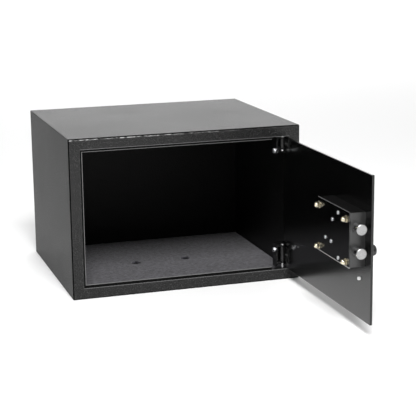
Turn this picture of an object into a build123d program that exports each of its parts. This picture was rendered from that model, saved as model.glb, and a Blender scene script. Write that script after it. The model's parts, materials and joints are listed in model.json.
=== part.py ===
from build123d import *

import os
from math import cos, radians, sin

# In room safe with a side-hung door, drawn in millimetres.
#
# Every piece is drawn with the door closed, in bench coordinates: x from the left side of the
# body, y from its front face going in, z from its underside. save_body() then moves a piece so
# that the origin is the middle of the underside, and save_door() first swings it open with the
# door, which is how the finished part is stored.

# ---- Body ----
WIDTH = 430.0
DEPTH = 360.0
HEIGHT = 290.0
SHEET = 2.0
FLANGE = 20.0
EDGE_RADIUS = 1.6
FRONT_BEND = 1.8
FRONT_SEAM = 1.0
ANCHOR_RADIUS = 6.0
ANCHOR_SPACING = 100.0
ANCHOR_Y = 190.0
MAT_THICKNESS = 4.0
MAT_GAP = 1.0
MAT_HOLE_RADIUS = 10.0
LIP_FRONT = 4.5
LIP_WIDTH = 5.0
LIP_OUTER = 10.0
LIP_END = 378.0

# ---- Door and hinges ----
DOOR_PLATE = 4.0
DOOR_LEFT = 21.5
DOOR_RIGHT = 407.0
DOOR_GAP = 2.0
DOOR_BOTTOM = FLANGE + DOOR_GAP
DOOR_TOP = HEIGHT - FLANGE - DOOR_GAP
HINGE_X = 400.0
HINGE_Y = 8.5
OPEN_ANGLE = 90.0
PIN_RADIUS = 2.5
PIN_CLEARANCE = 0.05
BARREL_RADIUS = 4.4
LEAF_PLATE = 2.0
BRACKET_PLATE = 3.0
BRACKET_LEFT = 388.0
BRACKET_FRONT = 8.5
BRACKET_BACK = 28.0
BRACKET_CORNER = 8.0
EAR_RADIUS = 3.8
EAR_GAP = 0.3
PIN_HEAD_RADIUS = 3.9
PIN_HEAD = 2.0
BRACKET_NUT_Y = 17.0
HINGES = {
    "lower": {"low": 22.0, "high": 66.0, "ears": (30.0, 61.5), "nut": 54.0, "pin_end": 21.0},
    "upper": {"low": 235.5, "high": 269.5, "ears": (245.0, 265.0), "nut": 241.5, "pin_end": 242.0},
}
LEAF_LENGTH = 21.0
LEAF_SCREW_X = (383.0, 390.0)

# ---- Lock case on the inside of the door ----
CASE_LEFT = 44.5
CASE_RIGHT = 174.5
CASE_LOW = 114.5
CASE_HIGH = 205.0
CASE_DEPTH = 26.0
COVER_PLATE = 2.0
COVER_OVERHANG = 0.8
COVER_Y = DOOR_PLATE + CASE_DEPTH
STUD_RADIUS = 2.5
STUD_PLACES = [(56.5, 122.0), (56.5, 192.5), (167.5, 122.0), (167.5, 192.5)]
COVER_SCREW_PLACES = [(88.5, 196.0), (86.5, 121.0), (111.5, 180.0), (139.5, 143.5), (116.0, 142.0)]
COVER_SCREW_RADIUS = 1.5

# ---- Locking bolts and their carriage ----
BOLT_RADIUS = 9.0
BOLT_CLEARANCE = 0.06
BOLT_TIP = 26.0
BOLT_Y = DOOR_PLATE + 14.0
BOLT_HEIGHTS = {"lower": 140.5, "upper": 180.0}
THROW = 18.0
CARRIAGE_LEFT = 66.5
CARRIAGE_PLATE = 2.0
CARRIAGE_RIGHT = 97.0
CARRIAGE_LOW = 137.0
CARRIAGE_HIGH = 157.0
GUIDE_X = 72.0
GUIDE_Z = 151.5
GUIDE_HEAD_RADIUS = 3.2
GUIDE_PLAY = 0.3
STOP_TAB = (93.0, 95.0)
STOP_TAB_TOP = 162.0

# ---- Knob, spindle and crank ----
KNOB_X = 80.0
KNOB_Z = 130.0
KNOB_BASE_Y = -13.0
KNOB_END_Y = -31.0
KNOB_SKIRT_RADIUS = 15.0
KNOB_GRIP_RADIUS = 9.5
SPINDLE_RADIUS = 4.0
SPINDLE_CLEARANCE = 0.05
CRANK_THROW = THROW / 2
CRANK_PIN_RADIUS = 2.5
CRANK_SLOT_PLAY = 0.6

# ---- Solenoid ----
SOLENOID_X = 85.0
SOLENOID_Y = 12.5
SOLENOID_LOW = 168.0
SOLENOID_HIGH = 190.0
PLUNGER_RADIUS = 3.0
PLUNGER_TIP = 163.0
STEM_RADIUS = 1.3
STEM_TOP = 201.3

# ---- Override lock ----
OVERRIDE_X = 91.4
OVERRIDE_Z = 196.0
OVERRIDE_RADIUS = 5.5
PLUG_RADIUS = 4.0
CAM_PIN_OFFSET = 3.6
COVER_PIVOT_Z = 209.0

# ---- Control panel on the outside of the door ----
PANEL_LEFT = 50.0
PANEL_RIGHT = 216.0
PANEL_LOW = 78.0
PANEL_HIGH = 218.0
PANEL_PROUD = 12.0
PANEL_WALL = 2.5
PANEL_CORNER = 10.0
KEY_COLUMNS = [139.0, 165.0, 191.0]
KEY_ROWS = [172.0, 153.0, 134.0, 115.0]
KEY_NAMES = ["1", "2", "3", "4", "5", "6", "7", "8", "9", "clear", "0", "lock"]
KEY_WIDTH = 19.0
KEY_HEIGHT = 13.0
KEY_CORNER = 3.0
KEY_GAP = 0.4
KEY_PROUD = 1.5
BOARD_FRONT = -8.6
BOARD_PLATE = 1.6
BOARD_SPACER = 2.0
BOARD_POSTS = [(124.0, 100.0), (206.0, 100.0), (124.0, 208.0), (206.0, 208.0)]
PANEL_SCREW_PLACES = [(100.0, 124.0), (105.0, 198.0), (152.0, 184.0)]
WINDOW = (126.0, 204.0, 188.0, 208.0)
LIGHT_PLACES = [(112.0, 172.0), (112.0, 158.0)]
LIGHT_RADIUS = 2.0
RESET_X = 62.5
RESET_Z = 90.0
RESET_RADIUS = 3.0

# ---- Batteries ----
CELL_RADIUS = 7.2
CELL_LENGTH = 50.0
CELL_PITCH = 15.0
CELL_COUNT = 4
TRAY = (108.0, 164.5, 6.5, 23.5, 120.0, 182.0)

os.makedirs("parts", exist_ok=True)


# ---- Drawing helpers ----
def block(x0, x1, y0, y1, z0, z1):
    """A box between two corners."""
    return Pos((x0 + x1) / 2, (y0 + y1) / 2, (z0 + z1) / 2) * Box(x1 - x0, y1 - y0, z1 - z0)


def rod_x(radius, x0, x1, y, z):
    """A cylinder along x."""
    return Pos((x0 + x1) / 2, y, z) * Rot(0, 90, 0) * Cylinder(radius, x1 - x0)


def rod_y(radius, x, y0, y1, z):
    """A cylinder along y."""
    return Pos(x, (y0 + y1) / 2, z) * Rot(90, 0, 0) * Cylinder(radius, y1 - y0)


def rod_z(radius, x, y, z0, z1):
    """A cylinder along z."""
    return Pos(x, y, (z0 + z1) / 2) * Cylinder(radius, z1 - z0)


def tube_y(outer, inner, x, y0, y1, z):
    """A ring along y."""
    return rod_y(outer, x, y0, y1, z) - rod_y(inner, x, y0, y1, z)


def rounded_plate(x0, x1, y0, y1, z0, z1, corner):
    """A plate that faces front, with its four corners rounded."""
    return fillet(block(x0, x1, y0, y1, z0, z1).edges().filter_by(Axis.Y), corner)


def hex_y(across_flats, x, y0, y1, z):
    """A hexagonal prism along y."""
    profile = Plane.XZ * RegularPolygon(across_flats / 2, 6, major_radius=False)
    return Pos(x, y1, z) * extrude(profile, y1 - y0)


def group(pieces):
    """Separate solids that share one node."""
    return Compound(children=[solid for piece in pieces for solid in piece.solids()])


def save_body(name, shape):
    """Writes a piece of the body, with the origin at the middle of the underside."""
    export_step(Pos(-WIDTH / 2, -DEPTH / 2, 0) * shape, f"parts/{name}.step")


def save_door(name, shape):
    """Writes a piece of the door, swung open about the hinge pins."""
    hinge = Pos(HINGE_X, HINGE_Y, 0)
    opened = hinge * Rot(0, 0, OPEN_ANGLE) * hinge.inverse() * shape
    save_body(name, opened)


# ---- Body ----
def make_body_shell():
    """Sheet wrap: floor, roof and both sides, with a seam at the front and two anchor holes."""
    outer = block(0, WIDTH, SHEET, DEPTH, 0, HEIGHT)
    outer = fillet(outer.edges().filter_by(Axis.Y), EDGE_RADIUS)
    outer = chamfer(outer.faces().sort_by(Axis.Y)[0].edges(), FRONT_SEAM)
    shell = outer - block(SHEET, WIDTH - SHEET, 0, DEPTH, SHEET, HEIGHT - SHEET)
    for side in (-1, 1):
        x = WIDTH / 2 + side * ANCHOR_SPACING / 2
        shell -= rod_z(ANCHOR_RADIUS, x, ANCHOR_Y, -1, SHEET + 1)
    return shell


def make_front_frame():
    """Flange ring round the door opening, with its outer edge rounded like a sheet bend."""
    frame = rounded_plate(0, WIDTH, 0, SHEET, 0, HEIGHT, EDGE_RADIUS)
    frame = fillet(frame.faces().sort_by(Axis.Y)[0].edges(), FRONT_BEND)
    return frame - block(FLANGE, WIDTH - FLANGE, -1, SHEET + 1, FLANGE, HEIGHT - FLANGE)


def make_stop_frame():
    """Three-sided lip that the closed door rests against, on a standing leg behind the flange."""
    back = LIP_FRONT + SHEET
    inner = FLANGE + LIP_WIDTH
    top = HEIGHT - LIP_OUTER
    lip = block(LIP_OUTER, inner, LIP_FRONT, back, LIP_OUTER, top)
    lip += block(LIP_OUTER, LIP_END, LIP_FRONT, back, LIP_OUTER, inner)
    lip += block(LIP_OUTER, LIP_END, LIP_FRONT, back, HEIGHT - inner, top)
    leg_in = LIP_OUTER + SHEET
    lip += block(LIP_OUTER, leg_in, SHEET, LIP_FRONT, LIP_OUTER, top)
    lip += block(LIP_OUTER, LIP_END, SHEET, LIP_FRONT, LIP_OUTER, leg_in)
    lip += block(LIP_OUTER, LIP_END, SHEET, LIP_FRONT, top - SHEET, top)
    return lip


def make_floor_mat():
    """Felt mat on the floor, punched over the anchor holes."""
    inset = SHEET + MAT_GAP
    mat = block(inset, WIDTH - inset, SHEET + MAT_GAP, DEPTH - inset, SHEET, SHEET + MAT_THICKNESS)
    for side in (-1, 1):
        x = WIDTH / 2 + side * ANCHOR_SPACING / 2
        mat -= rod_z(MAT_HOLE_RADIUS, x, ANCHOR_Y, 0, SHEET + MAT_THICKNESS + 1)
    return mat


def make_frame_bracket(hinge):
    """Hinge bracket: back plate from the side wall, forward web with a cut corner, two pin ears."""
    low, high = hinge["low"], hinge["high"]
    web_right = BRACKET_LEFT + BRACKET_PLATE
    bracket = block(BRACKET_LEFT, web_right, BRACKET_FRONT, BRACKET_BACK, low, high)
    bracket += block(BRACKET_LEFT, WIDTH - SHEET, BRACKET_BACK - BRACKET_PLATE, BRACKET_BACK, low, high)
    bracket -= Pos(web_right, BRACKET_FRONT, low) * Rot(45, 0, 0) * Box(
        3 * BRACKET_PLATE, BRACKET_CORNER, BRACKET_CORNER)
    for ear_low in hinge["ears"]:
        ear_high = ear_low + BRACKET_PLATE
        ear = block(BRACKET_LEFT, HINGE_X + EAR_RADIUS, HINGE_Y, BRACKET_BACK, ear_low, ear_high)
        ear += block(BRACKET_LEFT, HINGE_X, HINGE_Y - EAR_RADIUS, HINGE_Y, ear_low, ear_high)
        ear += rod_z(EAR_RADIUS, HINGE_X, HINGE_Y, ear_low, ear_high)
        bracket += ear
    bracket -= rod_z(PIN_RADIUS, HINGE_X, HINGE_Y, low, high)
    return bracket - rod_x(STUD_RADIUS, BRACKET_LEFT - 1, web_right + 1, BRACKET_NUT_Y, hinge["nut"])


def make_hinge_pin(hinge):
    """Hinge pin with a head on its upper ear and its plain end below the lower one."""
    top = hinge["ears"][1] + BRACKET_PLATE
    pin = rod_z(PIN_RADIUS, HINGE_X, HINGE_Y, hinge["pin_end"], top)
    return pin + rod_z(PIN_HEAD_RADIUS, HINGE_X, HINGE_Y, top, top + PIN_HEAD)


def make_bracket_bolt(hinge):
    """Hexagon bolt through the web of a frame bracket."""
    web_right = BRACKET_LEFT + BRACKET_PLATE
    z = hinge["nut"]
    head = Pos(BRACKET_LEFT - 3.5, BRACKET_NUT_Y, z) * extrude(
        Plane.YZ * RegularPolygon(4.0, 6, major_radius=False), 3.5)
    shank = rod_x(STUD_RADIUS, BRACKET_LEFT, web_right + 2.5, BRACKET_NUT_Y, z)
    nut = Pos(web_right, BRACKET_NUT_Y, z) * extrude(
        Plane.YZ * RegularPolygon(3.5, 6, major_radius=False), 2.5)
    return head + shank + nut


# ---- Door ----
def make_door_panel():
    """Flat door plate with the holes that the lock and the control panel need."""
    plate = rounded_plate(DOOR_LEFT, DOOR_RIGHT, 0, DOOR_PLATE, DOOR_BOTTOM, DOOR_TOP, 1.5)
    plate = chamfer(plate.faces().sort_by(Axis.Y)[0].edges(), 0.4)
    plate = chamfer(plate.faces().sort_by(Axis.Y)[-1].edges(), 0.4)
    holes = [(KNOB_X, KNOB_Z, 6.0), (OVERRIDE_X, OVERRIDE_Z, OVERRIDE_RADIUS)]
    holes += [(x, z, 1.7) for x, z in PANEL_SCREW_PLACES]
    holes += [(RESET_X, RESET_Z, RESET_RADIUS + 0.3)]
    for x, z, radius in holes:
        plate -= rod_y(radius, x, -1, DOOR_PLATE + 1, z)
    return plate - block(125, 137, -1, DOOR_PLATE + 1, 191.5, 195.5)


def barrel_span(hinge):
    """Heights of a door hinge's ends, a running gap inside the bracket's ears."""
    ears = hinge["ears"]
    return ears[0] + BRACKET_PLATE + EAR_GAP, ears[1] - EAR_GAP


def make_door_hinge(hinge):
    """Door hinge: barrel on the pin, with a leaf along the inside of the door."""
    low, high = barrel_span(hinge)
    leaf = block(HINGE_X - LEAF_LENGTH, HINGE_X, DOOR_PLATE, DOOR_PLATE + LEAF_PLATE, low, high)
    hinge = leaf + rod_z(BARREL_RADIUS, HINGE_X, HINGE_Y, low, high)
    return hinge - rod_z(PIN_RADIUS + PIN_CLEARANCE, HINGE_X, HINGE_Y, low - 1, high + 1)


def make_leaf_screws():
    """Pan screws that hold the leaves to the door."""
    screws = []
    face = DOOR_PLATE + LEAF_PLATE
    for hinge in HINGES.values():
        for x in LEAF_SCREW_X:
            screw = rod_y(2.9, x, face, face + 1.7, sum(barrel_span(hinge)) / 2)
            screws.append(fillet(screw.faces().sort_by(Axis.Y)[-1].edges(), 0.8))
    return group(screws)


def make_lock_case():
    """Open-backed lock case, with round openings for the bolt guides."""
    case = rounded_plate(CASE_LEFT, CASE_RIGHT, DOOR_PLATE, COVER_Y, CASE_LOW, CASE_HIGH, 1.0)
    case -= block(CASE_LEFT + SHEET, CASE_RIGHT - SHEET, 0, COVER_Y + 1, CASE_LOW + SHEET, CASE_HIGH - SHEET)
    for z in BOLT_HEIGHTS.values():
        case -= rod_x(BOLT_RADIUS + 1, CASE_LEFT - 1, CASE_LEFT + SHEET + 1, BOLT_Y, z)
    return case


def make_lock_cover():
    """Cover plate of the lock case."""
    o = COVER_OVERHANG
    cover = rounded_plate(CASE_LEFT - o, CASE_RIGHT + o, COVER_Y, COVER_Y + COVER_PLATE,
                          CASE_LOW - o, CASE_HIGH + o, 1.5)
    cover = chamfer(cover.faces().sort_by(Axis.Y)[-1].edges(), 0.4)
    for x, z in STUD_PLACES:
        cover -= rod_y(STUD_RADIUS, x, COVER_Y - 1, COVER_Y + 3, z)
    for x, z in COVER_SCREW_PLACES:
        cover -= rod_y(COVER_SCREW_RADIUS, x, COVER_Y - 1, COVER_Y + 3, z)
    return cover


def make_door_studs():
    """Studs on the inside of the door: four for the cover, two board pillars, one carriage guide."""
    studs = [rod_y(STUD_RADIUS, x, DOOR_PLATE, COVER_Y + 7, z) for x, z in STUD_PLACES]
    studs += [rod_y(1.6, x, DOOR_PLATE, 8, 199.5) for x in (114, 156)]
    guide = rod_y(STUD_RADIUS, GUIDE_X, DOOR_PLATE, 7.3, GUIDE_Z)
    studs.append(guide + rod_y(GUIDE_HEAD_RADIUS, GUIDE_X, 7.3, 8.6, GUIDE_Z))
    return group(studs)


def make_cover_nuts():
    """Brass cap nuts with a collar, one on each cover stud."""
    face = COVER_Y + COVER_PLATE
    nuts = []
    for x, z in STUD_PLACES:
        collar = rod_y(6.2, x, face, face + 1.2, z)
        body = hex_y(9.5, x, face + 1.2, face + 5.2, z)
        dome = Pos(x, face + 5.0, z) * Sphere(4.2)
        dome -= block(x - 6, x + 6, face - 2, face + 5.0, z - 6, z + 6)
        nut = collar + body + dome
        nuts.append(nut - rod_y(STUD_RADIUS, x, face - 1, COVER_Y + 7, z))
    return group(nuts)


def make_cover_screws():
    """Small pan screws in the cover."""
    face = COVER_Y + COVER_PLATE
    screws = []
    for x, z in COVER_SCREW_PLACES:
        head = rod_y(3.1, x, face, face + 2.2, z)
        head = fillet(head.faces().sort_by(Axis.Y)[-1].edges(), 1.0)
        screws.append(head + rod_y(COVER_SCREW_RADIUS, x, COVER_Y - 1.8, face, z))
    return group(screws)


def make_bolt_guides():
    """Flanged bushes that carry the bolts in the side of the case."""
    inner = BOLT_RADIUS + BOLT_CLEARANCE
    guides = []
    for z in BOLT_HEIGHTS.values():
        guide = rod_x(BOLT_RADIUS + 1, CASE_LEFT - 0.6, CASE_LEFT + SHEET, BOLT_Y, z)
        guide += rod_x(BOLT_RADIUS + 1.9, CASE_LEFT + SHEET, CASE_LEFT + SHEET + 1.4, BOLT_Y, z)
        guides.append(guide - rod_x(inner, CASE_LEFT - 2, CASE_LEFT + SHEET + 3, BOLT_Y, z))
    return group(guides)


def make_locking_bolt(z):
    """Round bolt with a broken edge, tapped at the back for the carriage screw."""
    bolt = rod_x(BOLT_RADIUS, BOLT_TIP, CARRIAGE_LEFT, BOLT_Y, z)
    bolt = chamfer(bolt.faces().sort_by(Axis.X)[0].edges(), 0.8)
    return bolt - rod_x(3.0, CARRIAGE_LEFT - 12, CARRIAGE_LEFT + 1, BOLT_Y, z)


def make_bolt_screws():
    """Screws that hold the bolts to the carriage."""
    back = CARRIAGE_LEFT + CARRIAGE_PLATE
    screws = []
    for z in BOLT_HEIGHTS.values():
        head = rod_x(5.0, back, back + 3.6, BOLT_Y, z)
        screws.append(head + rod_x(3.0, CARRIAGE_LEFT - 12, back, BOLT_Y, z))
    return group(screws)


def make_bolt_carriage():
    """Sliding plate with the bolt flange, the crank fork, the guide slot and the stop tab."""
    y0 = DOOR_PLATE + 1
    y1 = y0 + CARRIAGE_PLATE
    flange = block(CARRIAGE_LEFT, CARRIAGE_LEFT + CARRIAGE_PLATE, y0, COVER_Y - 2, 131.5, 189)
    carriage = flange + block(CARRIAGE_LEFT, CARRIAGE_RIGHT, y0, y1, CARRIAGE_LOW, CARRIAGE_HIGH)
    carriage += block(*STOP_TAB, y0, 16, CARRIAGE_HIGH - 2, STOP_TAB_TOP)
    fork_x = KNOB_X + CRANK_THROW
    half = CRANK_PIN_RADIUS + CRANK_SLOT_PLAY
    carriage -= block(fork_x - half, fork_x + half, y0 - 1, y1 + 1, CARRIAGE_LOW - 1, 145.8)
    half = STUD_RADIUS + GUIDE_PLAY
    slot = block(GUIDE_X, GUIDE_X + THROW, y0 - 1, y1 + 1, GUIDE_Z - half, GUIDE_Z + half)
    slot += rod_y(half, GUIDE_X, y0 - 1, y1 + 1, GUIDE_Z)
    slot += rod_y(half, GUIDE_X + THROW, y0 - 1, y1 + 1, GUIDE_Z)
    carriage -= slot
    back = CARRIAGE_LEFT + CARRIAGE_PLATE
    for z in BOLT_HEIGHTS.values():
        carriage -= rod_x(3.0, CARRIAGE_LEFT - 1, back + 1, BOLT_Y, z)
    return carriage


# ---- Knob and its drive ----
def make_knob():
    """Round knob with a skirt, a fluted grip and a domed end."""
    length = KNOB_BASE_Y - KNOB_END_Y
    skirt = rod_y(KNOB_SKIRT_RADIUS, KNOB_X, KNOB_BASE_Y - 4, KNOB_BASE_Y, KNOB_Z)
    skirt = fillet(skirt.faces().sort_by(Axis.Y)[0].edges(), 1.5)
    grip = rod_y(KNOB_GRIP_RADIUS, KNOB_X, KNOB_END_Y, KNOB_BASE_Y - 4, KNOB_Z)
    grip = fillet(grip.faces().sort_by(Axis.Y)[0].edges(), 5.0)
    for turn in range(0, 360, 45):
        x = KNOB_X + (KNOB_GRIP_RADIUS + 2.2) * cos(radians(turn + 22.5))
        z = KNOB_Z + (KNOB_GRIP_RADIUS + 2.2) * sin(radians(turn + 22.5))
        grip -= rod_y(3.2, x, KNOB_END_Y - 1, KNOB_BASE_Y - 5, z)
    knob = skirt + grip
    return knob - rod_y(SPINDLE_RADIUS, KNOB_X, KNOB_BASE_Y - length + 8, KNOB_BASE_Y + 1, KNOB_Z)


def make_spindle():
    """Spindle from the knob through the door into the lock case."""
    return rod_y(SPINDLE_RADIUS, KNOB_X, KNOB_END_Y + 8, 13.6, KNOB_Z)


def make_spindle_bush():
    """Flanged bush that carries the spindle in the door."""
    bush = rod_y(6.0, KNOB_X, 0, 7.6, KNOB_Z) + rod_y(9.0, KNOB_X, -3, 0, KNOB_Z)
    bush += rod_y(6.0, KNOB_X, -8.5, -3, KNOB_Z)
    return bush - rod_y(SPINDLE_RADIUS + SPINDLE_CLEARANCE, KNOB_X, -10, 9, KNOB_Z)


def make_crank_arm():
    """Crank on the spindle, whose pin works in the carriage's fork."""
    pin_x = KNOB_X + CRANK_THROW
    pin_z = KNOB_Z + CRANK_THROW
    hub = rod_y(7.0, KNOB_X, 8.2, 12.6, KNOB_Z)
    reach = CRANK_THROW * 2 ** 0.5
    arm = Pos(KNOB_X, 9.7, KNOB_Z) * Rot(0, -45, 0) * Pos(reach / 2, 0, 0) * Box(reach, 3.0, 8.0)
    arm += rod_y(4.0, pin_x, 8.2, 11.2, pin_z)
    pin = rod_y(CRANK_PIN_RADIUS, pin_x, 5.2, 8.2, pin_z)
    return hub + arm + pin - rod_y(SPINDLE_RADIUS, KNOB_X, 8, 13, KNOB_Z)


def make_crank_clip():
    """Spring clip that keeps the crank on the spindle."""
    clip = tube_y(6.4, SPINDLE_RADIUS, KNOB_X, 12.6, 13.4, KNOB_Z)
    return clip - block(KNOB_X - 2, KNOB_X + 2, 12, 14, KNOB_Z - 8, KNOB_Z)


# ---- Solenoid ----
def make_solenoid_frame():
    """Bent steel frame of the solenoid."""
    frame = block(SOLENOID_X - 10, SOLENOID_X + 10, 4, 6, SOLENOID_LOW, SOLENOID_HIGH)
    for low in (SOLENOID_LOW, SOLENOID_HIGH - 2):
        frame += block(SOLENOID_X - 10, SOLENOID_X + 10, 4, 19, low, low + 2)
    frame -= rod_z(PLUNGER_RADIUS + 0.3, SOLENOID_X, SOLENOID_Y, SOLENOID_LOW - 1, SOLENOID_LOW + 3)
    return frame - rod_z(STEM_RADIUS + 0.3, SOLENOID_X, SOLENOID_Y, SOLENOID_HIGH - 3, SOLENOID_HIGH + 1)


def make_solenoid_coil():
    """Coil between the frame's two ends."""
    coil = rod_z(6.5, SOLENOID_X, SOLENOID_Y, SOLENOID_LOW + 2, SOLENOID_HIGH - 2)
    return coil - rod_z(PLUNGER_RADIUS + 0.3, SOLENOID_X, SOLENOID_Y, SOLENOID_LOW, SOLENOID_HIGH)


def make_plunger():
    """Plunger drawn in, with a spring collar, a thin stem and a lifting bar on top."""
    plunger = rod_z(PLUNGER_RADIUS, SOLENOID_X, SOLENOID_Y, PLUNGER_TIP, SOLENOID_HIGH - 6)
    plunger += rod_z(4.5, SOLENOID_X, SOLENOID_Y, PLUNGER_TIP + 1, PLUNGER_TIP + 2)
    plunger += rod_z(STEM_RADIUS, SOLENOID_X, SOLENOID_Y, SOLENOID_HIGH - 6, STEM_TOP)
    bar_low = STEM_TOP - 1.5
    return plunger + block(SOLENOID_X - 4.5, SOLENOID_X + 5, 11.1, 13.9, bar_low, STEM_TOP)


def make_plunger_spring():
    """Light spring between the plunger's collar and the frame."""
    low = PLUNGER_TIP + 2.3
    wire = 0.25
    height = SOLENOID_LOW - 0.3 - low
    path = Helix(pitch=height / 3, height=height, radius=3.9)
    section = Plane(origin=path @ 0, z_dir=path % 0) * Circle(wire)
    return Pos(SOLENOID_X, SOLENOID_Y, low) * sweep(section, path=path)


# ---- Electronics and batteries in the lock case ----
def make_bolt_switch():
    """Small switch that feels the carriage when the bolts are drawn."""
    switch = block(98.5, 106.5, 4, 11, 139, 154)
    return switch + rod_x(1.0, CARRIAGE_RIGHT + 0.3, 98.5, 7.0, 141)


def make_lock_board():
    """Driver board on its two pillars, with its larger components."""
    board = block(108, 160, 8, 9.6, 188, 202)
    board += block(118, 124, 9.6, 12.6, 190, 198)
    board += block(140, 150, 9.6, 11.6, 190, 197)
    return board


def make_battery_holder():
    """Open tray for the cells, on four feet."""
    x0, x1, y0, y1, z0, z1 = TRAY
    tray = block(*TRAY) - block(x0 + 2, x1 - 2, y0 + 1.5, y1 + 1, z0 + 1, z1 - 1)
    for x in (x0 + 6, x1 - 6):
        for z in (z0 + 6, z1 - 6):
            tray += rod_y(3.0, x, DOOR_PLATE, y0, z)
    return tray


def make_battery_cells():
    """Four cells side by side, each with its contact cap."""
    x0, x1, y0, _, z0, z1 = TRAY
    start = x0 + 2.3
    y = y0 + 1.5 + CELL_RADIUS
    first = (z0 + z1) / 2 - CELL_PITCH * (CELL_COUNT - 1) / 2
    cells = []
    for i in range(CELL_COUNT):
        z = first + i * CELL_PITCH
        cell = rod_x(CELL_RADIUS, start, start + CELL_LENGTH, y, z)
        cells.append(cell + rod_x(2.7, start + CELL_LENGTH, start + CELL_LENGTH + 1.2, y, z))
    return group(cells)


# ---- Control panel ----
def key_places():
    """Name and centre of each key, row by row."""
    places = [(x, z) for z in KEY_ROWS for x in KEY_COLUMNS]
    return list(zip(KEY_NAMES, places))


def make_panel_housing():
    """Moulded housing on the outside of the door."""
    front = -PANEL_PROUD
    wall = PANEL_WALL
    shell = rounded_plate(PANEL_LEFT, PANEL_RIGHT, front, 0, PANEL_LOW, PANEL_HIGH, PANEL_CORNER)
    shell = fillet(shell.faces().sort_by(Axis.Y)[0].edges(), 2.0)
    shell -= rounded_plate(PANEL_LEFT + wall, PANEL_RIGHT - wall, front + wall, 1,
                           PANEL_LOW + wall, PANEL_HIGH - wall, PANEL_CORNER - wall)
    for x, z in PANEL_SCREW_PLACES:
        shell += tube_y(3.2, COVER_SCREW_RADIUS, x, front + wall, 0, z)
    for x, z in BOARD_POSTS:
        shell += rod_y(2.4, x, front + wall, BOARD_FRONT, z)
    shell += rod_y(3.2, OVERRIDE_X, front - 1.2, front, COVER_PIVOT_Z)
    shell += rod_y(1.5, OVERRIDE_X, front - 3.0, front - 1.2, COVER_PIVOT_Z)
    shell += rod_y(2.8, OVERRIDE_X, front - 4.0, front - 3.0, COVER_PIVOT_Z)
    half_w = KEY_WIDTH / 2 + KEY_GAP
    half_h = KEY_HEIGHT / 2 + KEY_GAP
    for _, (x, z) in key_places():
        shell -= rounded_plate(x - half_w, x + half_w, front - 1, front + wall + 1,
                               z - half_h, z + half_h, KEY_CORNER)
    x0, x1, z0, z1 = WINDOW
    shell -= block(x0, x1, front - 1, front + 1.5, z0, z1)
    shell -= block(x0 + 3, x1 - 3, front - 1, front + wall + 1, z0 + 3, z1 - 3)
    for x, z in LIGHT_PLACES:
        shell -= rod_y(LIGHT_RADIUS, x, front - 1, front + wall + 1, z)
    shell -= rod_y(6.2, KNOB_X, front - 1, front + wall + 1, KNOB_Z)
    return shell - rod_y(OVERRIDE_RADIUS, OVERRIDE_X, front - 1, front + wall + 1, OVERRIDE_Z)


def make_key(x, z):
    """Key cap with a retaining flange behind the housing's front wall."""
    front = -PANEL_PROUD - KEY_PROUD
    back = -PANEL_PROUD + PANEL_WALL + 0.2
    cap = rounded_plate(x - KEY_WIDTH / 2, x + KEY_WIDTH / 2, front, back,
                        z - KEY_HEIGHT / 2, z + KEY_HEIGHT / 2, KEY_CORNER - KEY_GAP)
    cap = fillet(cap.faces().sort_by(Axis.Y)[0].edges(), 0.7)
    flange = rounded_plate(x - KEY_WIDTH / 2 - 1.2, x + KEY_WIDTH / 2 + 1.2, back, back + 0.5,
                           z - KEY_HEIGHT / 2 - 1.2, z + KEY_HEIGHT / 2 + 1.2, KEY_CORNER)
    return cap + flange


def make_display_window():
    """Dark window over the display, in its rebate."""
    x0, x1, z0, z1 = WINDOW
    front = -PANEL_PROUD
    window = block(x0, x1, front, front + 1.5, z0, z1)
    return window + block(x0 + 3, x1 - 3, front + 1.5, BOARD_FRONT, z0 + 3, z1 - 3)


def make_keypad_board():
    """Board behind the keys, cut round the housing's boss and the ribbon cable."""
    front = BOARD_FRONT + BOARD_SPACER
    board = block(120, 210, front, front + BOARD_PLATE, 96, 212)
    for x, z in BOARD_POSTS:
        board += rod_y(2.0, x, BOARD_FRONT, front, z)
    boss_x, boss_z = PANEL_SCREW_PLACES[2]
    return board - rod_y(3.6, boss_x, BOARD_FRONT, 0, boss_z)


def make_ribbon_cable():
    """Flat cable from the keypad board through the door to the driver board."""
    start = BOARD_FRONT + BOARD_SPACER + BOARD_PLATE
    return block(126, 136, start, 8, 193, 194)


def make_status_lights():
    """Two small lenses beside the keys."""
    front = -PANEL_PROUD
    lights = []
    for x, z in LIGHT_PLACES:
        lens = rod_y(LIGHT_RADIUS, x, front - 0.8, front + PANEL_WALL, z)
        lights.append(fillet(lens.faces().sort_by(Axis.Y)[0].edges(), 0.6))
    return group(lights)


def make_panel_screws():
    """Screws from inside the lock case that hold the housing to the door."""
    screws = []
    for x, z in PANEL_SCREW_PLACES:
        head = rod_y(3.4, x, DOOR_PLATE, DOOR_PLATE + 2, z)
        screws.append(head + rod_y(COVER_SCREW_RADIUS, x, -8, DOOR_PLATE, z))
    return group(screws)


# ---- Override lock ----
def make_override_barrel():
    """Fixed barrel of the override lock."""
    return tube_y(OVERRIDE_RADIUS, PLUG_RADIUS + 0.05, OVERRIDE_X, -13, 8.5, OVERRIDE_Z)


def make_override_plug():
    """Turning plug with a key slot, and an end disc whose pin lifts the plunger."""
    plug = rod_y(PLUG_RADIUS, OVERRIDE_X, -12.8, 8.7, OVERRIDE_Z)
    plug -= block(OVERRIDE_X - 0.7, OVERRIDE_X + 0.7, -13, -3, OVERRIDE_Z - 3, OVERRIDE_Z + 3)
    plug += rod_y(5.0, OVERRIDE_X, 8.7, 10.2, OVERRIDE_Z)
    pin_x = OVERRIDE_X + CAM_PIN_OFFSET * cos(radians(225))
    pin_z = OVERRIDE_Z + CAM_PIN_OFFSET * sin(radians(225))
    return plug + rod_y(1.0, pin_x, 10.2, 14.5, pin_z)


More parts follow.
